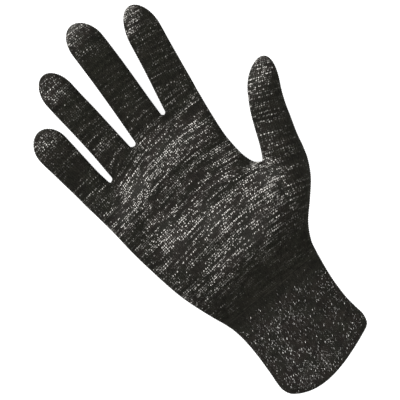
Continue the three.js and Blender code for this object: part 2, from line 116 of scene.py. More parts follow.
# a tube starts between two knots, each beside a crotch or not, and ends in a round cap. Over its
# fan it narrows from the knots, over its slot the crotch is round, and before it come so many wales
tubeColumns = "along width bow top side under"
tubes = {
    "little_finger": {
        "stitches": 11, "before": 0, "knots": fingerKnots[0:2], "crotches": (False, True),
        "root": (-47.6, 161), "tip": (-53.2, 213.2), "cap": 13.5, "fan": 16, "slot": 1.9, "corner": 12,
        "rows": table(tubeColumns, (0, 20.4, -0.5, 17, 8, 0), (10, 20, -0.8, 16.2, 7.8, 0),
                      (20, 20.6, -0.9, 15, 7.5, 0), (28, 21.1, -0.9, 15.3, 7.4, 0),
                      (36, 21.7, -1, 14.3, 7.3, 0.1), (44, 21.7, -0.8, 14.6, 7.3, 0.5),
                      (53, 21.4, -0.4, 14.2, 7.4, 1))},
    "ring_finger": {
        "stitches": 12, "before": 11, "knots": fingerKnots[1:3], "crotches": (True, True),
        "root": (-24.9, 166.8), "tip": (-29.7, 238.6), "cap": 15.5, "fan": 18, "slot": 1.9, "corner": 12,
        "rows": table(tubeColumns, (0, 21, 0, 17, 8, 0), (14, 20.4, 0.1, 16.4, 7.9, 0),
                      (26, 20.3, 0, 15.1, 7.6, 0), (37, 20.4, -0.2, 15.6, 7.5, 0),
                      (48, 20.4, -0.6, 14.4, 7.3, 0.1), (60, 20.4, -0.7, 14.9, 7.3, 0.6),
                      (72, 20.2, -0.5, 14.2, 7.5, 1.3))},
    "middle_finger": {
        "stitches": 14, "before": 23, "knots": fingerKnots[2:4], "crotches": (True, True),
        "root": (0.6, 174.8), "tip": (2.9, 251.9), "cap": 16, "fan": 18, "slot": 1.9, "corner": 12,
        "rows": table(tubeColumns, (0, 22.8, 0, 17, 8, 0), (15, 22.4, 0.2, 16.8, 8, 0),
                      (28, 22.4, 0.4, 15.4, 7.8, 0), (40, 22.4, 0.5, 16, 7.6, 0),
                      (52, 22.4, 0.4, 14.7, 7.4, 0.1), (65, 22.3, 0.1, 15.2, 7.5, 0.6),
                      (77.2, 22.4, -0.6, 14.5, 7.6, 1.4))},
    "index_finger": {
        "stitches": 13, "before": 37, "knots": fingerKnots[3:5], "crotches": (True, False),
        "root": (26.3, 176.3), "tip": (36.8, 239.7), "cap": 19, "fan": 15, "slot": 1.9, "corner": 12,
        "rows": table(tubeColumns, (0, 23.2, 0.4, 17, 8, 0), (12, 23, 0.7, 16.7, 8, 0),
                      (23, 22.4, 0.8, 15.2, 7.7, 0), (33, 22.1, 0.8, 15.8, 7.6, 0),
                      (43, 22, 0.8, 14.6, 7.4, 0.1), (54, 21.6, 0.9, 15.1, 7.5, 0.7),
                      (64.3, 21.6, 0.6, 14.4, 7.6, 1.4))},
    "thumb": {
        "stitches": 12, "before": 50, "knots": thumbKnots, "crotches": (True, False),
        "root": (56.3, 111.8), "tip": (79.7, 167.2), "cap": 19.5, "fan": 12, "slot": 3, "corner": 14,
        "rows": table(tubeColumns, (0, 25.6, -0.8, 23.5, 10.5, 0), (8, 24, -1.1, 22, 10.2, 0),
                      (20, 23.1, -1.8, 18.9, 9.6, 0), (30, 22, -2.2, 17.6, 9.1, 0.1),
                      (40, 20.8, -1.6, 16.9, 8.8, 0.5), (50, 20.4, 0, 17, 8.8, 1.1),
                      (61, 20.2, 2.6, 16, 8.8, 1.8))},
}
fingers = [name for name in tubes if name != "thumb"]

cuff = {
    "stitches": 52,
    "courses": 42,
    "wall": 1.7,
    "left": table("y x", (-7, -28.4), (-4, -31.3), (1, -32.9), (12, -32.4), (26, -32), (38, -32.6),
                  (46, -34), (52, -36)),
    "right": table("y x", (-2.5, 30.4), (0.6, 33), (6, 34.1), (12, 33.2), (20, 32.3), (32, 32.4),
                   (42, 33.4), (52, 34.9)),
    "heights": table("share top side under", (0, 23, 12, 1.6), (0.05, 24.6, 12, 0.6),
                     (0.13, 25.4, 12, 0), (0.5, 24.8, 11.8, 0), (1, 24.5, 11.5, 0)),
    "corner": 22,
    "bulgeDepth": 7.0, "bulgeSkew": 0.72, "bulgeFade": 0.7,    # how the mouth's rows sag
    "depth": 0.5,
    "waleCrests": (0.0, 1.0, 0.35, 1.0),
    "courseCrests": (0.45, 0.9, 1.0),
    "lip": 0.7, "lipRows": 1.4,      # the mouth's edge rolls in by this, over so many rows
    "scatter": 1.0, "tipScatter": 0.0, "tipRows": 1,
}


# smooth curves
def mix(a, b, share):
    return a + (b - a) * share


def ease(value):                     # level at both ends
    value = np.clip(value, 0, 1)
    return value * value * (3 - 2 * value)


def quarter(value):                  # a quarter of an ellipse, level at 1
    return np.sqrt(1 - (1 - np.clip(value, 0, 1)) ** 2)


def along(rows, by, place, column):  # a smooth curve through one column of a table
    at, value = rows[by], rows[column]
    last = len(at) - 1
    before, after = np.maximum(np.arange(last + 1) - 1, 0), np.minimum(np.arange(last + 1) + 1, last)
    slope = (value[after] - value[before]) / (at[after] - at[before])
    place = np.clip(place, at[0], at[-1])
    i = np.clip(np.searchsorted(at, place) - 1, 0, last - 1)
    span = at[i + 1] - at[i]
    t = (place - at[i]) / span
    start, end, rise = slope[i] * span, slope[i + 1] * span, value[i + 1] - value[i]
    return value[i] + t * start + t**2 * (3 * rise - 2 * start - end) + t**3 * (start + end - 2 * rise)


# one side of a tube, walked evenly from edge to edge: the share crossed, and how far in it is
def section(walk, width, rise, corner):
    reach = np.minimum(corner, width / 2)
    arc = np.pi / 2 * np.sqrt((reach**2 + rise**2) / 2)
    nearer = np.minimum(walk, 1 - walk) * (2 * arc + width - 2 * reach)
    inset = 1 - np.cos(np.minimum(nearer / arc, 1) * np.pi / 2)
    crossed = inset * reach + np.maximum(nearer - arc, 0)
    return np.where(walk <= 0.5, crossed, width - crossed) / width, inset


def spread(areas, x, y):             # the sum of a table's soft ovals; its last column is their strength
    total = np.zeros_like(x)
    for midX, midY, reach, wide, turn, strength in zip(*areas.values()):
        c, s = math.cos(math.radians(turn)), math.sin(math.radians(turn))
        lengthways = ((x - midX) * c + (y - midY) * s) / reach
        sideways = ((y - midY) * c - (x - midX) * s) / wide
        total += strength * np.exp(-(lengthways**2 + sideways**2))
    return total


def skin(x, y, fullness, top, side, under, upper):
    if upper:
        z = side + (top - side) * fullness + spread(hand["mounds"], x, y) * fullness**2
    else:
        z = side - (side - under) * np.minimum(fullness * hand["underFlat"], 1)
    return np.stack([x, y, z], -1)


# a side of the hand, between two rows where tubes branch off
def sidePoint(outline, share):
    rows, start, end, droop = outline
    y = mix(start, end, share) - droop * np.sin(np.pi * share)
    return along(rows, "y", y, "x"), y


# over the last millimetres of its blend the hand parts into the next tubes, and over those of its
# web the skin dips between them
leftKnot = (along(hand["left"], "y", hand["leftY"], "x"), hand["leftY"])
lowerHand = {
    "left": (hand["left"], hand["wristY"], hand["leftY"], hand["droop"]),
    "right": (hand["thumbSide"], hand["wristY"], thumbKnots[1][1], 0),
    "knots": np.array([leftKnot, *thumbKnots]),
    "corners": (hand["corner"], tubes["thumb"]["corner"]),
    "counts": (hand["stitches"], tubes["thumb"]["stitches"]),
    "from": hand["wristY"], "to": hand["thumbY"], "blend": 46, "web": 24,
}
upperHand = {
    "left": (hand["left"], hand["leftY"], fingerKnots[0][1], 0),
    "right": (hand["indexSide"], thumbKnots[0][1], fingerKnots[-1][1], 0),
    "knots": fingerKnots,
    "corners": [tubes[f]["corner"] for f in fingers],
    "counts": [tubes[f]["stitches"] for f in fingers],
    "from": hand["thumbY"], "to": hand["fingersY"], "blend": 38, "web": 13,
}


# how far the rows rise above a straight line from edge to edge
def rowBow(part, branch, across, ownAcross, parted, share):
    if part is upperHand:
        place, strength = across, np.cos(np.pi / 2 * share)
    else:
        place = mix(across, ownAcross if branch == 0 else 1, parted)
        strength = np.sin(np.pi / 2 * share)
    return hand["bow"] * strength * np.sin(np.pi * place ** hand["bowSkew"])


def handSkin(part, branch, walk, share, upper):
    level = mix(part["from"], part["to"], share)
    top, side = (along(hand["heights"], "y", level, c) for c in ("top", "side"))
    endTop, endSide = (float(along(hand["heights"], "y", part["to"], c)) for c in ("top", "side"))
    counts, knots = part["counts"], part["knots"]
    handWalk = (sum(counts[:branch]) + walk * counts[branch]) / sum(counts)

    (leftX, leftY), (rightX, rightY) = sidePoint(part["left"], share), sidePoint(part["right"], share)
    (endLeftX, endLeftY), (endRightX, endRightY) = sidePoint(part["left"], 1.0), sidePoint(part["right"], 1.0)
    width = np.hypot(rightX - leftX, rightY - leftY)
    across, inset = section(handWalk, width, top - side, hand["corner"])
    endWidth = np.hypot(endRightX - endLeftX, endRightY - endLeftY)
    endAcross, _ = section(handWalk, endWidth, endTop - endSide, hand["corner"])
    (fromX, fromY), (toX, toY) = knots[branch], knots[branch + 1]
    ownWidth = np.hypot(toX - fromX, toY - fromY)
    ownAcross, ownInset = section(walk, ownWidth, endTop - endSide, part["corners"][branch])

    below = (1 - share) * (part["to"] - part["from"])
    parted = 1 - ease(below / part["blend"])
    x, y = mix(leftX, rightX, across), mix(leftY, rightY, across)
    x = x + parted * (mix(fromX, toX, ownAcross) - mix(endLeftX, endRightX, endAcross))
    y = y + parted * (mix(fromY, toY, ownAcross) - mix(endLeftY, endRightY, endAcross))
    y = y + rowBow(part, branch, across, ownAcross, parted, share)
    outside = np.where(walk < 0.5, branch == 0, branch == len(counts) - 1)
    outer = np.where(outside, quarter(ownInset), 1)
    inner = np.where(outside, 1, quarter(np.hypot(ownInset, below / part["web"])))
    return skin(x, y, mix(quarter(inset), outer, parted) * inner, top, side, 0.0, upper)


# a finger or the thumb
def tubeEdge(tube, place, side):
    (rootX, rootY), (tipX, tipY) = tube["root"], tube["tip"]
    length = math.hypot(tipX - rootX, tipY - rootY)
    ax, ay = (tipX - rootX) / length, (tipY - rootY) / length
    capShare = np.clip((place - length + tube["cap"]) / tube["cap"], 0, 1)
    width = along(tube["rows"], "along", place, "width") * np.sqrt(1 - capShare**2)
    offset = along(tube["rows"], "along", place, "bow") + side * width / 2
    return rootX + ax * place + ay * offset, rootY + ay * place - ax * offset


def tubeEnd(tube, place, i):
    (rootX, rootY), (tipX, tipY) = tube["root"], tube["tip"]
    length = math.hypot(tipX - rootX, tipY - rootY)
    knotX, knotY = tube["knots"][i]
    start = ((knotX - rootX) * (tipX - rootX) + (knotY - rootY) * (tipY - rootY)) / length
    fanned = 1 - ease(place / tube["fan"])
    x, y = tubeEdge(tube, place + start * fanned, (-1, 1)[i])
    firstX, firstY = tubeEdge(tube, start, (-1, 1)[i])
    held = 1 - quarter(place / tube["slot"]) if tube["crotches"][i] else fanned
    return x + (knotX - firstX) * held, y + (knotY - firstY) * held


def tubeSkin(tube, place, walk, upper):
    length = math.dist(tube["root"], tube["tip"])
    (leftX, leftY), (rightX, rightY) = tubeEnd(tube, place, 0), tubeEnd(tube, place, 1)
    full = np.sqrt(1 - np.clip((place - length + tube["cap"]) / tube["cap"], 0, 1) ** 2)
    rows = tube["rows"]
    side, top = along(rows, "along", place, "side"), along(rows, "along", place, "top")
    under = np.maximum(along(rows, "along", place, "under"), 0)
    width = np.maximum(np.hypot(rightX - leftX, rightY - leftY), 1e-6)
    across, inset = section(walk, width, rows["top"][0] - rows["side"][0], tube["corner"])
    return skin(mix(leftX, rightX, across), mix(leftY, rightY, across), quarter(inset),
                mix(side, top, full), side, mix(side, under, full), upper)


# where the rows of stitches lie along a tube: evenly up to the cap, then evenly over it
def tubeRows(tube):
    paceCount, perRow = 200, 8
    length = math.dist(tube["root"], tube["tip"])
    straight = length - tube["cap"]
    bodyRows = round(straight / knit["courseHeight"])
    turn = np.linspace(0, np.pi / 2, paceCount)
    rise = tube["rows"]["top"][-1] - tube["rows"]["side"][-1]
    paces = np.hypot(np.diff(tube["cap"] * np.sin(turn)), np.diff(rise * np.cos(turn)))
    paced = np.concatenate([[0], np.cumsum(paces)])
    capRows = round(paced[-1] / knit["courseHeight"])
    turns = np.interp(np.linspace(0, paced[-1], capRows * perRow + 1), paced, turn)
    rows = np.concatenate([[0], bodyRows + np.linspace(0, capRows, capRows * perRow + 1)])
    places = np.concatenate([[0], straight + tube["cap"] * np.sin(turns)])
    return rows, places


# the whole knit as one map: which strip of wales, how far across it, and which row
def branchRow(name):
    return knit["lowerCourses"] + (0 if name == "thumb" else knit["upperCourses"])


def lastRow(name):
    return branchRow(name) + int(round(tubeRows(tubes[name])[0][-1]))


def gloveSkin(name, walk, row, upper):
    tube = tubes[name]
    lower, root = knit["lowerCourses"], branchRow(name)
    point = np.zeros(walk.shape + (3,))
    low, high = row <= lower, row > root
    middle = ~low & ~high
    if low.any():
        share = row[low] / lower
        if name == "thumb":
            point[low] = handSkin(lowerHand, 1, walk[low], share, upper)
        else:
            handWalk = (tube["before"] + walk[low] * tube["stitches"]) / hand["stitches"]
            point[low] = handSkin(lowerHand, 0, handWalk, share, upper)
    if middle.any():
        share = (row[middle] - lower) / knit["upperCourses"]
        point[middle] = handSkin(upperHand, fingers.index(name), walk[middle], share, upper)
    if high.any():
        rows, places = tubeRows(tube)
        point[high] = tubeSkin(tube, np.interp(row[high] - root, rows, places), walk[high], upper)
    return point


def cuffSkin(walk, row, upper):
    share = row / cuff["courses"]
    leftY, rightY = (mix(cuff[side]["y"][0], cuff[side]["y"][-1], share) for side in ("left", "right"))
    leftX, rightX = along(cuff["left"], "y", leftY, "x"), along(cuff["right"], "y", rightY, "x")
    top, side, under = (along(cuff["heights"], "share", share, c) for c in ("top", "side", "under"))
    across, inset = section(walk, np.hypot(rightX - leftX, rightY - leftY), top - side, cuff["corner"])
    bulge = np.sin(np.pi * across ** cuff["bulgeSkew"]) * (1 - ease(share / cuff["bulgeFade"]))
    y = mix(leftY, rightY, across) - cuff["bulgeDepth"] * bulge
    return skin(mix(leftX, rightX, across), y, quarter(inset), top, side, np.maximum(under, 0), upper)


# 1 where a row has its full zigzag, down to 0 where it runs straight: at mouths, tips and crotches
def zigzagShare(name, wale, row, straightRows):
    share, fade = np.ones_like(row), knit["zigzagFade"]
    for straight in straightRows:
        share = np.minimum(share, np.abs(row - straight) / fade)
    if name in tubes:
        tube = tubes[name]
        for edge, crotch in zip((0, tube["stitches"]), tube["crotches"]):
            crotchRow = branchRow(name)
            if name == "index_finger" and edge:      # the thumb's crotch is beside this strip
                crotch, crotchRow = True, knit["lowerCourses"]
            if crotch:
                close = np.clip(1 - np.abs(wale - edge) / fade, 0, 1)
                share = share * (1 - close * (1 - np.minimum(np.abs(row - crotchRow) / fade, 1)))
    return np.clip(share, 0, 1)


# the stitch map counts wales and rows, and the baking map is in millimetres before it is fitted
maps = {
    "underFrom": 200.0,              # wales of the underside count from here in the stitch map
    "insideFrom": 400.0,             # and those of the inner skin from here
    "turnBack": 400.0,               # round a mouth, the underside's count back from here
    "ringRow": -2,                   # row of a mouth's ring in the stitch map
    "waleWidth": 2.0,                # of each wale in the baking map
    "insideScale": 0.35,
    "gap": 2.0, "margin": 1.0,
    "ringHeight": 3.0,
}


def weld(points):                    # points in one small cell become one
    cell, shift = 0.001, 0.37        # the shift keeps round numbers off the cells' edges
    keys = np.floor(points / cell + shift).astype(np.int64)
    _, first, back = np.unique(keys, axis=0, return_index=True, return_inverse=True)
    return points[first], back.reshape(-1), first


def cornerNormals(points, quads):
    p = points[quads]
    face = np.cross(p[:, 2] - p[:, 0], p[:, 3] - p[:, 1])
    total = np.zeros_like(points)
    for k in range(4):
        for axis in range(3):
            total[:, axis] += np.bincount(quads[:, k], face[:, axis], len(points))
    return total / np.maximum(np.linalg.norm(total, axis=1, keepdims=True), 1e-12)


# grids of one skin, joined into one list of points and four-cornered faces
class Sheets:
    def __init__(self, fine, style):
        self.fine, self.style = fine, style
        self.perWale, self.perRow = knit["stitchPoints"] if fine else (1, 1)
        self.points, self.stitch, self.atlas, self.crest, self.faces = [], [], [], [], []
        self.ids = {}
        self.count = 0

    def add(self, span, surface, upper, straightRows, place):
        name, stitches, before, rowFrom, rowTo = span
        wales = np.arange(stitches * self.perWale + 1) / self.perWale
        rows = np.arange(rowFrom * self.perRow, rowTo * self.perRow + 1) / self.perRow
        wale, row = np.meshgrid(wales, rows)
        lean, crest = 0.0, np.ones_like(row)
        if self.fine:
            bent = zigzagShare(name, wale, row, straightRows)
            lean = self.style["lean"] * bent * np.resize(knit["zigzag"], len(wales))
            across = np.resize(self.style["waleCrests"], len(wales))
            up = np.resize(self.style["courseCrests"], len(rows))
            crest = mix(knit["evenCrest"], across[None, :] * up[:, None], bent)
        ids = self.count + np.arange(wale.size).reshape(wale.shape)
        a, b, c, d = ids[:-1, :-1], ids[:-1, 1:], ids[1:, 1:], ids[1:, :-1]
        self.faces.append(np.stack([a, b, c, d] if upper else [a, d, c, b], -1).reshape(-1, 4))
        self.points.append(surface(wale / stitches, row + lean, upper).reshape(-1, 3))
        counted = wale + before + (0 if upper else maps["underFrom"])
        self.stitch.append(np.stack([counted, row], -1).reshape(-1, 2))
        self.atlas.append(np.stack(place(wale + before, row, upper), -1).reshape(-1, 2))
        self.crest.append(crest.reshape(-1))
        self.ids[name, upper] = ids
        self.count += wale.size

    def join(self):
        self.points, self.back, first = weld(np.concatenate(self.points))
        grid = np.concatenate(self.faces)
        self.quads = self.back[grid]
        self.normals = cornerNormals(self.points, self.quads)
        self.crest = np.concatenate(self.crest)[first]
        stitch = np.concatenate(self.stitch)
        self.row = stitch[first, 1]
        self.stitch, self.atlas = stitch[grid], np.concatenate(self.atlas)[grid]

    # the open edge that runs over the palm side of some strips and back under them
    def mouthLoop(self, names, end, before):
        ids, keys = [], []
        for upper in (True, False):
            for name in names if upper else names[::-1]:
                line = self.ids[name, upper][end]
                key = before[name] + np.arange(len(line)) / self.perWale
                if not upper:
                    line, key = line[::-1], maps["turnBack"] - key[::-1]
                ids.append(self.back[line])
                keys.append(key)
        return np.concatenate(ids), np.concatenate(keys)


# faces of a ring between two loops, as triangles of (is inner, place in its loop)
def zipLoops(outerKeys, innerKeys):
    i = j = 0
    made = []
    while i < len(outerKeys) - 1 or j < len(innerKeys) - 1:
        nextOuter = outerKeys[i + 1] if i < len(outerKeys) - 1 else math.inf
        nextInner = innerKeys[j + 1] if j < len(innerKeys) - 1 else math.inf
        if nextOuter <= nextInner:
            made.append(((0, i), (0, i + 1), (1, j)))
            i += 1
        else:
            made.append(((0, i), (1, j + 1), (1, j)))
            j += 1
    return made


# the corners of a mesh's faces, with their places in both maps
class Faces:
    def __init__(self):
        self.sizes, self.smooth, self.corners, self.stitch, self.atlas = [], [], [], [], []

    def add(self, corners, stitch, atlas, smooth=True):
        corners = np.asarray(corners)
        self.sizes.append(np.full(len(corners), corners.shape[1] if len(corners) else 0))
        self.smooth.append(np.full(len(corners), smooth))
        self.corners.append(corners.reshape(-1))
        self.stitch.append(np.asarray(stitch, float).reshape(-1, 2))
        self.atlas.append(np.asarray(atlas, float).reshape(-1, 2))

    def addGrid(self, quads, stitch, atlas):
        same = np.stack([quads[:, k] == quads[:, (k + 1) % 4] for k in range(4)])
        whole = ~same.any(0)
        self.add(quads[whole], stitch[whole], atlas[whole])
        for k in range(4):                           # a tip's faces lose one corner
            narrow = same[k] & (same.sum(0) == 1)
            keep = [c for c in range(4) if c != k]
            self.add(quads[narrow][:, keep], stitch[narrow][:, keep], atlas[narrow][:, keep])

    def makeMesh(self, name, points):
        sizes, corners = np.concatenate(self.sizes), np.concatenate(self.corners)
        atlas, margin = np.concatenate(self.atlas), maps["margin"]
        atlas = (atlas + margin) / (atlas.max() + 2 * margin)
        mesh = bpy.data.meshes.new(name)
        mesh.vertices.add(len(points))
        mesh.vertices.foreach_set("co", ((points - knit["middle"]) * millimetre).reshape(-1))
        mesh.loops.add(len(corners))
        mesh.loops.foreach_set("vertex_index", corners.astype(np.int32))
        mesh.polygons.add(len(sizes))
        starts = np.concatenate([[0], np.cumsum(sizes)[:-1]])
        mesh.polygons.foreach_set("loop_start", starts.astype(np.int32))
        mesh.polygons.foreach_set("use_smooth", np.concatenate(self.smooth))
        for mapName, places in (("stitch", np.concatenate(self.stitch)), ("OFBake", atlas)):
            mesh.uv_layers.new(name=mapName).data.foreach_set("uv", places.reshape(-1))
        mesh.update(calc_edges=True)
        mesh.validate()
        print(name, len(points), "points,", int((sizes - 2).sum()), "triangles")
        return mesh


def grooveDepth(outer, style, tipRow):
    fade = np.clip((tipRow - outer.row) / knit["tipFade"], 0, 1)
    depth = style["depth"] * (1 - outer.crest) * fade
    if "lip" in style:
        depth += style["lip"] * np.clip(1 - outer.row / style["lipRows"], 0, 1) ** 2
    return depth * (1 + style["wobble"] * random.standard_normal(len(depth)))


lowEnd, highEnd = 0, -1              # the row of its spans that a mouth is at


# one closed knitted tube: stitches outside, a plain skin inside, and a ring at each mouth. A span
# is a strip of wales between two rows, and a mouth names its spans, their end and if it is smooth
def knitPiece(pieceName, node, spans, mouths, cloth, tipRow=math.inf):
    style = cloth["style"]
    before = {name: start for name, _, start, _, _ in spans}
    leftmost = min(before.values())
    rightmost = max(start + stitches for _, stitches, start, _, _ in spans)
    lowest, highest = min(span[3] for span in spans), max(span[4] for span in spans)
    wide, tall = (rightmost - leftmost) * maps["waleWidth"], (highest - lowest) * knit["courseHeight"]
    besides = np.array((wide + maps["gap"], 0) if tall > wide else (0, tall + maps["gap"]))

    def layOut(fine):
        scale = 1.0 if fine else maps["insideScale"]
        corner = np.zeros(2) if fine else besides * 2

        def place(wale, row, upper):
            x, y = corner + besides * scale * (0 if upper else 1)
            return ((wale - leftmost) * maps["waleWidth"] * scale + x,
                    (row - lowest) * knit["courseHeight"] * scale + y)

        sheets = Sheets(fine, style)
        for span in spans:
            for upper in (True, False):
                sheets.add(span, cloth["skin"](span[0]), upper, cloth["straight"](span[0]), place)
        sheets.join()
        return sheets

    outer, inner = layOut(True), layOut(False)
    outerPoints = outer.points - outer.normals * grooveDepth(outer, style, tipRow)[:, None]
    outerPoints[:, 2] = np.maximum(outerPoints[:, 2], 0.0)
    innerPoints = inner.points - inner.normals * style["wall"]
    offset = len(outerPoints)

    faces = Faces()
    faces.addGrid(outer.quads, outer.stitch, outer.atlas)
    insideStitch = inner.stitch + (maps["insideFrom"], 0)
    faces.addGrid(inner.quads[:, ::-1] + offset, insideStitch[:, ::-1], inner.atlas[:, ::-1])
    band = max(outer.atlas[..., 1].max(), inner.atlas[..., 1].max()) + maps["gap"]
    for names, end, smooth in mouths:
        (outerIds, outerKeys), (innerIds, innerKeys) = (
            sheets.mouthLoop(names, end, before) for sheets in (outer, inner))
        ids, keys = (outerIds, innerIds + offset), (outerKeys, innerKeys)
        for face in zipLoops(outerKeys, innerKeys):
            face = face[::-1] if end == lowEnd else face
            corners = [ids[inside][k] for inside, k in face]
            if len(set(corners)) < 3:
                continue
            stitch, atlas = [], []
            for inside, k in face:
                key = keys[inside][k]
                lap = key - leftmost
                if key > maps["underFrom"]:
                    lap = maps["turnBack"] - key + rightmost - 2 * leftmost
                stitch.append((key, inside + maps["ringRow"]))
                atlas.append((lap, band + maps["ringHeight"] * inside))
            faces.add([corners], stitch, atlas, smooth)
        band += maps["ringHeight"] + maps["gap"]

    mesh = faces.makeMesh(pieceName, np.concatenate([outerPoints, innerPoints]))
    flecks = np.concatenate([cloth["flecks"](sheets.points, sheets.normals) for sheets in (outer, inner)])
    nearTip = ease((np.concatenate([outer.row, inner.row]) - tipRow) / style["tipRows"] + 1)
    scatter = np.maximum(style["scatter"], style["tipScatter"] * nearTip)
    for attribute, values in (("flecks", flecks), ("scatter", scatter)):
        mesh.attributes.new(attribute, "FLOAT", "POINT").data.foreach_set("value", values)
    mesh.materials.append(cloth["material"])
    piece = bpy.data.objects.new(pieceName, mesh)
    bpy.context.scene.collection.objects.link(piece)
    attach(piece, "root")
    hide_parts(node)


# flecked yarn. A ramp says from where to where a value rises, and what it becomes at both ends
yarn = {
    # white in runs along the rows, which keep together in bands of a few rows
    "streakScale": (0.085, 7.37), "bandScale": (0.05, 0.3), "runBand": 0.45,
    "runRamp": (0.54, 0.65, 0.0, 1.0), "runStrength": (0.0, 1.0, 0.1, 1.9),
    # loose white outside the runs, which changes with the bands and from row to row
    "loose": 1.5, "looseRarity": 2.6, "plyScale": (0.17, 5.41),
    "looseBands": (0.35, 0.65, 0.3, 1.7), "loosePlies": (0.47, 0.6, 0.02, 2.3),
    # single white stitches, in clusters and in strokes along the wales
    "clusterScale": (0.22, 0.2), "clusters": (0.4, 0.6, 0.65, 1.35),
    "strokeScale": (7.37, 0.25), "strokes": (0.48, 0.62, 0.7, 1.9),
    "singleRamp": (1.0, 1.25, 0.0, 1.0), "singleDensity": (0.2, 0.7, 0.75, 1.3),
    "singleRarity": 3.0, "singleStrength": (0.0, 1.0, 0.15, 1.2),
    "secondLeg": (0.6, 0.5, 0.3),    # brightness of every other leg in runs, loose and single white
    "grainScale": 850.0, "grains": (0.4, 0.6, 0.4, 1.55),      # breaks in the white, a millimetre apart
    # the bead of white that shows of a leg
    "beadRamp": (1.1, 0.7, 0.0, 1.0), "ragged": 0.8,
    "drift": (0.7, 0.16),            # how far it may lie from the leg's middle, across and along
    "swell": 0.1,                    # how much wider it is in a run
    # warm patches, the tone of the dark yarn, and painted shade that darkens it towards the grooves between
    # the legs
    "patchScale": (0.11, 0.16), "patches": (0.42, 0.6, 1.0, 0.0), "warmFlecks": (0.1, 0.5, 0.25, 1.0),
    "legTone": 0.5, "fibreTone": 0.6, "plyTone": (0.4, 0.6, 0.2, 0.68), "grooveShade": (0.0, 0.7, 0.6, 1.05),
    # fibres and twisted plies
    "fibreScale": (4.4, 9.0), "plies": 2.0, "twist": 1.6, "twistHeight": 0.25, "crestHeight": 0.8,
}


def wire(tree, value, socket):
    if isinstance(value, bpy.types.NodeSocket):
        tree.links.new(value, socket)
    else:
        socket.default_value = value


def maths(tree, operation, *values, clamp=False):
    made = tree.nodes.new("ShaderNodeMath")
    made.operation, made.use_clamp = operation, clamp
    for value, socket in zip(values, made.inputs):
        wire(tree, value, socket)
    return made.outputs[0]


def total(tree, *values):
    return reduce(lambda a, b: maths(tree, "ADD", a, b), values)


def product(tree, *values):
    return reduce(lambda a, b: maths(tree, "MULTIPLY", a, b), values)


def vector(tree, x, y, z=0.0):
    made = tree.nodes.new("ShaderNodeCombineXYZ")
    for value, socket in zip((x, y, z), made.inputs):
        wire(tree, value, socket)
    return made.outputs[0]


def noiseAt(tree, place, scale=1.0):
    made = tree.nodes.new("ShaderNodeTexNoise")
    wire(tree, place, made.inputs["Vector"])
    made.inputs["Scale"].default_value = scale
    return made.outputs["Fac"]


def remap(tree, value, low, high, toLow=0.0, toHigh=1.0, smooth=False):
    made = tree.nodes.new("ShaderNodeMapRange")
    made.interpolation_type = "SMOOTHSTEP" if smooth else "LINEAR"
    for socket, given in zip(made.inputs[:5], (value, low, high, toLow, toHigh)):
        wire(tree, given, socket)
    return made.outputs[0]


def blendColours(tree, share, a, b, mode="MIX"):
    made = tree.nodes.new("ShaderNodeMix")
    made.data_type, made.blend_type = "RGBA", mode
    wire(tree, share, made.inputs["Factor"])
    wire(tree, a, made.inputs[6])
    wire(tree, b, made.inputs[7])
    return made.outputs[2]


def blendValues(tree, share, a, b):
    made = tree.nodes.new("ShaderNodeMix")
    made.data_type = "FLOAT"
    for value, socket in zip((share, a, b), (made.inputs[0], made.inputs[2], made.inputs[3])):
        wire(tree, value, socket)
    return made.outputs[0]


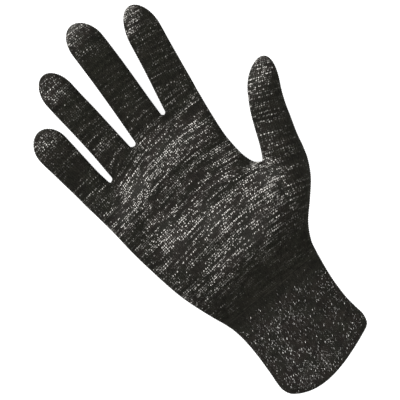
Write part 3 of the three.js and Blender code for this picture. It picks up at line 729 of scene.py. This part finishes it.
# colour and fibre height of every leg of a stitch, from a map that counts wales and rows
def makeFleckedYarn():
    tree = bpy.data.node_groups.new("fleckedYarn", "ShaderNodeTree")
    for name, kind in (("Stitch", "Vector"), ("Flecks", "Float"), ("Scatter", "Float"), ("Across", "Float"),
                       ("Along", "Float"), ("Straighten", "Float"), ("Haze", "Float"),
                       ("Warm yarn", "Color"), ("Cool yarn", "Color"), ("White yarn", "Color")):
        tree.interface.new_socket(name=name, in_out="INPUT", socket_type="NodeSocket" + kind)
    for name, kind in (("Colour", "Color"), ("Height", "Float")):
        tree.interface.new_socket(name=name, in_out="OUTPUT", socket_type="NodeSocket" + kind)
    given = tree.nodes.new("NodeGroupInput").outputs
    result = tree.nodes.new("NodeGroupOutput").inputs

    split = tree.nodes.new("ShaderNodeSeparateXYZ")
    wire(tree, given["Stitch"], split.inputs[0])
    wale, row = split.outputs[0], split.outputs[1]
    halfWale = product(tree, wale, 2.0)
    leg, course = maths(tree, "FLOOR", halfWale), maths(tree, "FLOOR", row)
    inLeg, inCourse = maths(tree, "FRACT", halfWale), maths(tree, "FRACT", row)
    first = maths(tree, "LESS_THAN", maths(tree, "FRACT", wale), 0.5)

    dice = tree.nodes.new("ShaderNodeTexWhiteNoise")
    dice.noise_dimensions = "2D"
    wire(tree, vector(tree, leg, course), dice.inputs["Vector"])
    rolled = tree.nodes.new("ShaderNodeSeparateColor")
    wire(tree, dice.outputs["Color"], rolled.inputs[0])
    chance, strength, spare = rolled.outputs[0], rolled.outputs[1], rolled.outputs[2]

    def scaled(x, y, scale):
        return noiseAt(tree, vector(tree, product(tree, x, yarn[scale][0]), product(tree, y, yarn[scale][1])))

    def ramp(value, name, smooth=False):
        return remap(tree, value, *yarn[name], smooth=smooth)

    # one yarn runs along each row, so a run of its legs is white at a time
    band = scaled(wale, course, "bandScale")
    banded = product(tree, total(tree, band, -0.5), yarn["runBand"])
    run = ramp(total(tree, scaled(wale, course, "streakScale"), banded), "runRamp")
    run = product(tree, run, ramp(strength, "runStrength"))
    ply = scaled(wale, course, "plyScale")
    loose = product(tree, maths(tree, "POWER", chance, yarn["looseRarity"]), yarn["loose"],
                    ramp(band, "looseBands"), ramp(ply, "loosePlies"))
    evenRun, evenLoose, evenSingle = (remap(tree, first, 0.0, 1.0, least, 1.0) for least in yarn["secondLeg"])
    woven = total(tree, product(tree, run, evenRun), product(tree, loose, evenLoose))
    woven = product(tree, given["Flecks"], woven)

    # elsewhere single legs are white, in clusters, and some follow a wale
    density = product(tree, given["Flecks"], ramp(scaled(wale, row, "clusterScale"), "clusters"),
                      ramp(scaled(leg, row, "strokeScale"), "strokes"))
    single = ramp(total(tree, chance, density), "singleRamp")
    single = product(tree, single, evenSingle, ramp(given["Flecks"], "singleDensity"),
                     ramp(maths(tree, "POWER", strength, yarn["singleRarity"]), "singleStrength"))
    place = tree.nodes.new("ShaderNodeTexCoord").outputs["Object"]
    grain = ramp(noiseAt(tree, place, yarn["grainScale"]), "grains")
    fleck = maths(tree, "MULTIPLY", blendValues(tree, given["Scatter"], woven, single), grain, clamp=True)

    # a bead of it shows near the middle of the leg, where the yarn is on top
    fibre = scaled(wale, row, "fibreScale")
    shifted = total(tree, inLeg, -0.5, product(tree, total(tree, spare, -0.5), yarn["drift"][0]))
    swell = total(tree, product(tree, run, yarn["swell"]), 1.0)
    aside = maths(tree, "DIVIDE", shifted, product(tree, given["Across"], swell))
    # legs slant one way and the other in turn
    slant = product(tree, remap(tree, inLeg, 0.0, 1.0, 1.0, -1.0), remap(tree, first, 0.0, 1.0, -1.0, 1.0))
    level = total(tree, inCourse, -0.5, product(tree, slant, given["Straighten"], knit["lean"]),
                  product(tree, total(tree, strength, -0.5), yarn["drift"][1]))
    up = maths(tree, "DIVIDE", level, given["Along"])
    away = maths(tree, "SQRT", total(tree, product(tree, aside, aside), product(tree, up, up)))
    edge = total(tree, away, product(tree, total(tree, fibre, -0.5), yarn["ragged"]))
    mask = product(tree, fleck, ramp(edge, "beadRamp", smooth=True))
    mask = total(tree, mask, product(tree, given["Flecks"], given["Haze"]))

    warm = product(tree, ramp(scaled(wale, row, "patchScale"), "patches", smooth=True),
                   ramp(given["Flecks"], "warmFlecks"))
    dark = blendColours(tree, warm, given["Cool yarn"], given["Warm yarn"])
    # an arch over each leg, 1 at its middle
    archX = product(tree, inLeg, maths(tree, "SUBTRACT", 1.0, inLeg), 4.0)
    archY = product(tree, inCourse, maths(tree, "SUBTRACT", 1.0, inCourse), 4.0)
    crest = product(tree, archX, archY)
    tone = total(tree, product(tree, spare, yarn["legTone"]), product(tree, fibre, yarn["fibreTone"]),
                 ramp(ply, "plyTone"))
    # painted shade: the dark yarn darkens towards the grooves between the legs, where they lie in shadow
    tone = product(tree, tone, ramp(crest, "grooveShade"))
    shade = tree.nodes.new("ShaderNodeCombineColor")
    for socket in shade.inputs:
        wire(tree, tone, socket)
    dark = blendColours(tree, 1.0, dark, shade.outputs[0], "MULTIPLY")
    wire(tree, blendColours(tree, mask, dark, given["White yarn"]), result["Colour"])

    # two twisted plies and loose fibres
    turns = total(tree, product(tree, inLeg, yarn["plies"]), product(tree, inCourse, yarn["twist"]))
    twist = maths(tree, "SINE", product(tree, turns, 2 * math.pi))
    twisted, raised = product(tree, twist, yarn["twistHeight"]), product(tree, crest, yarn["crestHeight"])
    wire(tree, total(tree, twisted, fibre, raised), result["Height"])
    return tree


fleckedYarn = makeFleckedYarn()


def makeKnitMaterial(name, look):
    material = bpy.data.materials.new(name)
    material.use_nodes = True
    tree = material.node_tree
    cloth = tree.nodes["Principled BSDF"]
    stitch = tree.nodes.new("ShaderNodeUVMap")
    stitch.uv_map = "stitch"
    pattern = tree.nodes.new("ShaderNodeGroup")
    pattern.node_tree = fleckedYarn
    tree.links.new(stitch.outputs["UV"], pattern.inputs["Stitch"])
    for socket in ("Flecks", "Scatter"):
        given = tree.nodes.new("ShaderNodeAttribute")
        given.attribute_name = socket.lower()
        tree.links.new(given.outputs["Fac"], pattern.inputs[socket])
    for socket in ("Across", "Along", "Straighten", "Haze", "Warm yarn", "Cool yarn", "White yarn"):
        pattern.inputs[socket].default_value = look[socket]
    bump = tree.nodes.new("ShaderNodeBump")
    for socket in ("Strength", "Distance"):
        bump.inputs[socket].default_value = look[socket]
    tree.links.new(pattern.outputs["Height"], bump.inputs["Height"])
    tree.links.new(bump.outputs["Normal"], cloth.inputs["Normal"])
    tree.links.new(pattern.outputs["Colour"], cloth.inputs["Base Color"])
    for socket in ("Roughness", "Specular IOR Level", "Sheen Weight", "Sheen Roughness"):
        cloth.inputs[socket].default_value = look[socket]
    return material


# Across and Along are a bead's size in legs and rows, Straighten is how far it follows the leg's
# slant, and Haze is white fibre between the beads. Strength and Distance are the fibres' bump
knitLook = {
    "Warm yarn": (0.0125, 0.0104, 0.0086, 1), "Strength": 0.7, "Distance": 0.00012,
    "Specular IOR Level": 0.05, "Sheen Weight": 0.01, "Sheen Roughness": 0.5,
}
handKnit = makeKnitMaterial("handKnit", {
    **knitLook, "Across": 0.3, "Along": 0.33, "Straighten": 0.7, "Haze": 0.01, "Roughness": 0.88,
    "Cool yarn": (0.009, 0.0089, 0.0064, 1), "White yarn": (0.57, 0.55, 0.515, 1)})
cuffKnit = makeKnitMaterial("cuffKnit", {
    **knitLook, "Across": 0.34, "Along": 0.155, "Straighten": 0.1, "Haze": 0.006, "Roughness": 0.9,
    "Cool yarn": (0.0105, 0.0104, 0.0078, 1), "White yarn": (0.96, 0.94, 0.9, 1)})
print("materials made")


# how much white shows: soft areas of the palm side, and of the back
areaColumns = "x y long wide turn more"
fleckAreas = {
    "palm": table(areaColumns,
                  (-56, 207, 9, 8, 0, 0.5),          # fingertips
                  (-35, 232, 9, 10, 0, 0.55), (-4, 246, 8, 6, 45, 0.6), (3, 253, 12, 7, 0, 3.0),
                  (0, 236, 12, 3, 8, 0.2), (31, 237, 7, 8, 150, 1.7), (27, 227, 5, 4, 0, 0.15),
                  (72, 162, 16, 9, 40, 1.15), (63, 156, 6, 8, 20, 0.65),
                  (0, 218, 12, 18, 0, -0.06), (32, 205, 10, 12, 0, -0.04),
                  (-10, 177, 45, 14, 8, 0.12), (35, 167, 7, 7, 0, 0.25),
                  (-50, 160, 9, 12, 0, 0.12), (4, 189, 8, 6, 0, 0.16), (-25, 173, 9, 6, 0, 0.08),
                  (19, 155, 10, 8, 0, 1.4), (6, 157, 8, 8, 10, 1.2),        # pads of the palm
                  (-13, 151, 14, 7, 8, 1.7), (-28, 149, 9, 8, 40, 2.1), (-22, 160, 6, 5, 0, -0.3),
                  (-43, 142, 10, 6, 35, 2.1), (-6, 162, 11, 6, 10, 0.8), (-43, 73, 5, 9, 0, 0.22),
                  (-1, 131, 26, 9, 0, 0.5), (26, 134, 7, 6, 0, 0.85),       # hollow
                  (-42, 131, 9, 9, 0, -0.12), (22, 141, 6, 5, 0, -0.3),
                  (-26, 123, 10, 5, 0, 1.15), (15, 121, 9, 6, 0, 1.05), (-3, 118, 9, 6, 0, 0.85),
                  (12, 113, 6, 5, 0, -0.5), (-50, 116, 6, 7, 0, 0.35),
                  (-25, 113, 12, 7, 0, 1.4), (-1, 106, 11, 8, 0, 2.35),      # heel
                  (-35, 114, 7, 7, 0, -0.3), (-14, 102, 9, 6, 0, 0.6), (-46, 85, 6, 14, 0, 0.12),
                  (33, 100, 10, 8, 10, 0.45), (40, 108, 8, 9, 0, 2.5),      # ball of the thumb
                  (41, 116, 7, 6, 40, 0.6), (36, 119, 5, 5, 0, -0.45), (49, 114, 6, 5, 0, -0.8),
                  (20, 108, 12, 8, 0, 0.45), (-14, 83, 11, 6, 0, 1.4), (-10, 92, 6, 5, 0, -0.2),
                  (15, 90, 15, 9, 20, 1.25), (7, 83, 12, 5, 0, 1.25), (18, 102, 7, 5, 0, 0.65),
                  (22, 88, 6, 5, 0, 0.55), (39, 91, 8, 6, 0, 0.45),
                  (-32, 101, 12, 12, 0, 0.7), (-29, 75, 8, 6, 0, 0.4),
                  (52, 123, 13, 7, 70, 0.36), (58, 113, 9, 8, 0, 0.05), (-26, 65, 8, 6, 0, 0.07),
                  (4, 55, 36, 16, 0, -0.055)),       # wrist
    "back": table(areaColumns,
                  (0, 150, 40, 18, 5, 0.4), (-10, 105, 40, 22, 10, 0.3)),
    "base": 0.075, "least": 0.015, "most": 3.0,
    "shadedRims": (0.9, 0.3),              # painted shade: share of flecks left on the steep sides, left and right, fewer on the right
    "wristFrom": 51, "wristFade": 6, # and none at the join to the cuff
}
cuffFlecks = {
    "palm": table(areaColumns,
                  (-17, 33, 9, 6, 30, 0.26), (0, 31, 10, 5, -25, 0.22),
                  (-18, 12, 9, 9, 0, 0.38), (-14, -2, 12, 6, 0, 0.4), (8, -1, 12, 6, 0, 0.33),
                  (0, 21, 12, 7, 0, 0.05), (21, 7, 8, 9, 0, -0.1)),
    "back": table(areaColumns, (0, 20, 30, 16, 0, 0.1)),
    # its last entry is painted shade: fewer flecks on the cuff's steep sides, most of all on the right
    "base": 0.34, "least": 0.0, "most": 1.2, "shadedRims": (0.8, 0.4),
    "mouthFade": 2.5,                # no flecks over this at the mouth
    "wristTop": 52, "wristFade": 12, # and few just below the wrist
}


# share of white flecks, times painted shade: fewer on steep sides, and fewer still on those facing right,
# away from the key light
def shadeBy(look, points, normals):
    flatFrom = 0.8                   # a normal this upright, or more so, is off the rims
    rimTurn = 0.3                    # shifts the change from the left rim's lighter painted shade to the right rim's darker one
    facing = normals[:, 2] >= 0
    share = np.full(len(points), look["base"])
    for side, here in (("palm", facing), ("back", ~facing)):
        share[here] += spread(look[side], points[here, 0], points[here, 1])
    level = np.clip(np.abs(normals[:, 2]) / flatFrom, 0, 1)
    rimShade = mix(*look["shadedRims"], ease(normals[:, 0] + rimTurn))
    return np.clip(share, look["least"], look["most"]) * mix(rimShade, 1, level)


def handShade(points, normals):
    fade = ease((points[:, 1] - fleckAreas["wristFrom"]) / fleckAreas["wristFade"])
    return shadeBy(fleckAreas, points, normals) * fade


def cuffShade(points, normals):
    left, right = cuff["left"], cuff["right"]
    across = np.clip((points[:, 0] - left["x"][0]) / (right["x"][0] - left["x"][0]), 0, 1)
    mouth = mix(left["y"][0], right["y"][0], across)
    mouth = mouth - cuff["bulgeDepth"] * np.sin(np.pi * across ** cuff["bulgeSkew"])
    fade = ease((points[:, 1] - mouth) / cuffFlecks["mouthFade"])
    fade *= ease((cuffFlecks["wristTop"] - points[:, 1]) / cuffFlecks["wristFade"])
    return shadeBy(cuffFlecks, points, normals) * fade


# the pieces
def spanOf(name, rowFrom, rowTo):
    return name, tubes[name]["stitches"], tubes[name]["before"], rowFrom, rowTo


handCloth = {
    "style": knit, "material": handKnit, "slot": "hand_knit", "flecks": handShade,
    "skin": lambda name: partial(gloveSkin, name),
    "straight": lambda name: [0, lastRow(name)],
}
cuffCloth = {
    "style": {**cuff, "lean": knit["lean"], "wobble": knit["wobble"]},
    "material": cuffKnit, "slot": "cuff_knit", "flecks": cuffShade,
    "skin": lambda name: cuffSkin,
    "straight": lambda name: [0, cuff["courses"]],
}
stub, lowerTop = knit["stubCourses"], knit["lowerCourses"]
upperTop = lowerTop + knit["upperCourses"]
knitPiece("knit_hand_lower", "palm",
          [spanOf(f, 0, lowerTop) for f in fingers] + [spanOf("thumb", 0, lowerTop + stub)],
          [(fingers + ["thumb"], lowEnd, False), (fingers, highEnd, False), (["thumb"], highEnd, False)],
          handCloth)
knitPiece("knit_hand_upper", "palm", [spanOf(f, lowerTop, upperTop + stub) for f in fingers],
          [(fingers, lowEnd, False)] + [([f], highEnd, False) for f in fingers], handCloth)
for name in tubes:
    knitPiece("knit_" + name, name, [spanOf(name, branchRow(name) + stub, lastRow(name))],
              [([name], lowEnd, False)], handCloth, lastRow(name))
knitPiece("knit_cuff", "cuff", [("cuff", cuff["stitches"], 0, 0, cuff["courses"])],
          [(["cuff"], lowEnd, True), (["cuff"], highEnd, False)], cuffCloth)
print("knitting done")


# floor, lights and camera
studio = {
    "floorSize": 6.0, "floorDrop": 0.0001,       # metres, and metres below the glove
    "paper": {"Base Color": (0.4, 0.4, 0.395, 1), "Roughness": 0.9, "Specular IOR Level": 0.1,
              # it glows as a light table does, which keeps the shadows faint
              "Emission Color": (1, 1, 1, 1), "Emission Strength": 0.85},
    "surroundings": {"Color": (1, 1, 1, 1), "Strength": 0.65},
    "roll": 38.0,                    # the glove lies turned by this in the picture
    "pixel": 0.605, "pixels": 400,   # millimetres of the glove for a pixel, and the picture's pixels
    "lookAt": (-12.2, 0.6, 10.0), "distance": 1600.0, "sensor": 36.0,        # these in millimetres too
    "lights": table("left up high size watts",
                    (900, 700, 900, 900, 26), (-900, 200, 800, 900, 9), (0, -800, 900, 900, 6)),
}


def makeFloor():
    half = studio["floorSize"] / 2
    mesh = bpy.data.meshes.new("floor")
    corners = [(-half, -half, 0), (half, -half, 0), (half, half, 0), (-half, half, 0)]
    mesh.from_pydata(corners, [], [(0, 1, 2, 3)])
    material = bpy.data.materials.new("floor")
    material.use_nodes = True
    for socket, value in studio["paper"].items():
        material.node_tree.nodes["Principled BSDF"].inputs[socket].default_value = value
    mesh.materials.append(material)
    floor = bpy.data.objects.new("floor", mesh)
    floor.location.z = -studio["floorDrop"]
    bpy.context.scene.collection.objects.link(floor)


def makeLights():
    turn = math.radians(studio["roll"])
    right, up = (math.cos(turn), -math.sin(turn)), (math.sin(turn), math.cos(turn))
    for i, (left, above, high, size, watts) in enumerate(zip(*studio["lights"].values())):
        lamp = bpy.data.lights.new(f"softbox{i + 1}", "AREA")
        lamp.size, lamp.energy = size * millimetre, watts
        light = bpy.data.objects.new(lamp.name, lamp)
        x, y = (above * up[k] - left * right[k] for k in (0, 1))
        light.location = (x * millimetre, y * millimetre, high * millimetre)
        light.rotation_euler = (-light.location).to_track_quat("-Z", "Y").to_euler()
        bpy.context.scene.collection.objects.link(light)
    world = bpy.data.worlds.new("studio")
    world.use_nodes = True
    for socket, value in studio["surroundings"].items():
        world.node_tree.nodes["Background"].inputs[socket].default_value = value
    bpy.context.scene.world = world


def makeCamera():
    lens = bpy.data.cameras.new("camera")
    lens.sensor_width = studio["sensor"]
    lens.lens = studio["sensor"] * studio["distance"] / (studio["pixels"] * studio["pixel"])
    camera = bpy.data.objects.new("camera", lens)
    x, y, z = studio["lookAt"]
    camera.location = (x * millimetre, y * millimetre, (z + studio["distance"]) * millimetre)
    camera.rotation_euler = (0, 0, -math.radians(studio["roll"]))
    bpy.context.scene.collection.objects.link(camera)
    bpy.context.scene.camera = camera


makeFloor()
makeLights()
makeCamera()
bpy.context.scene.view_settings.view_transform = "Standard"
print("stage set")
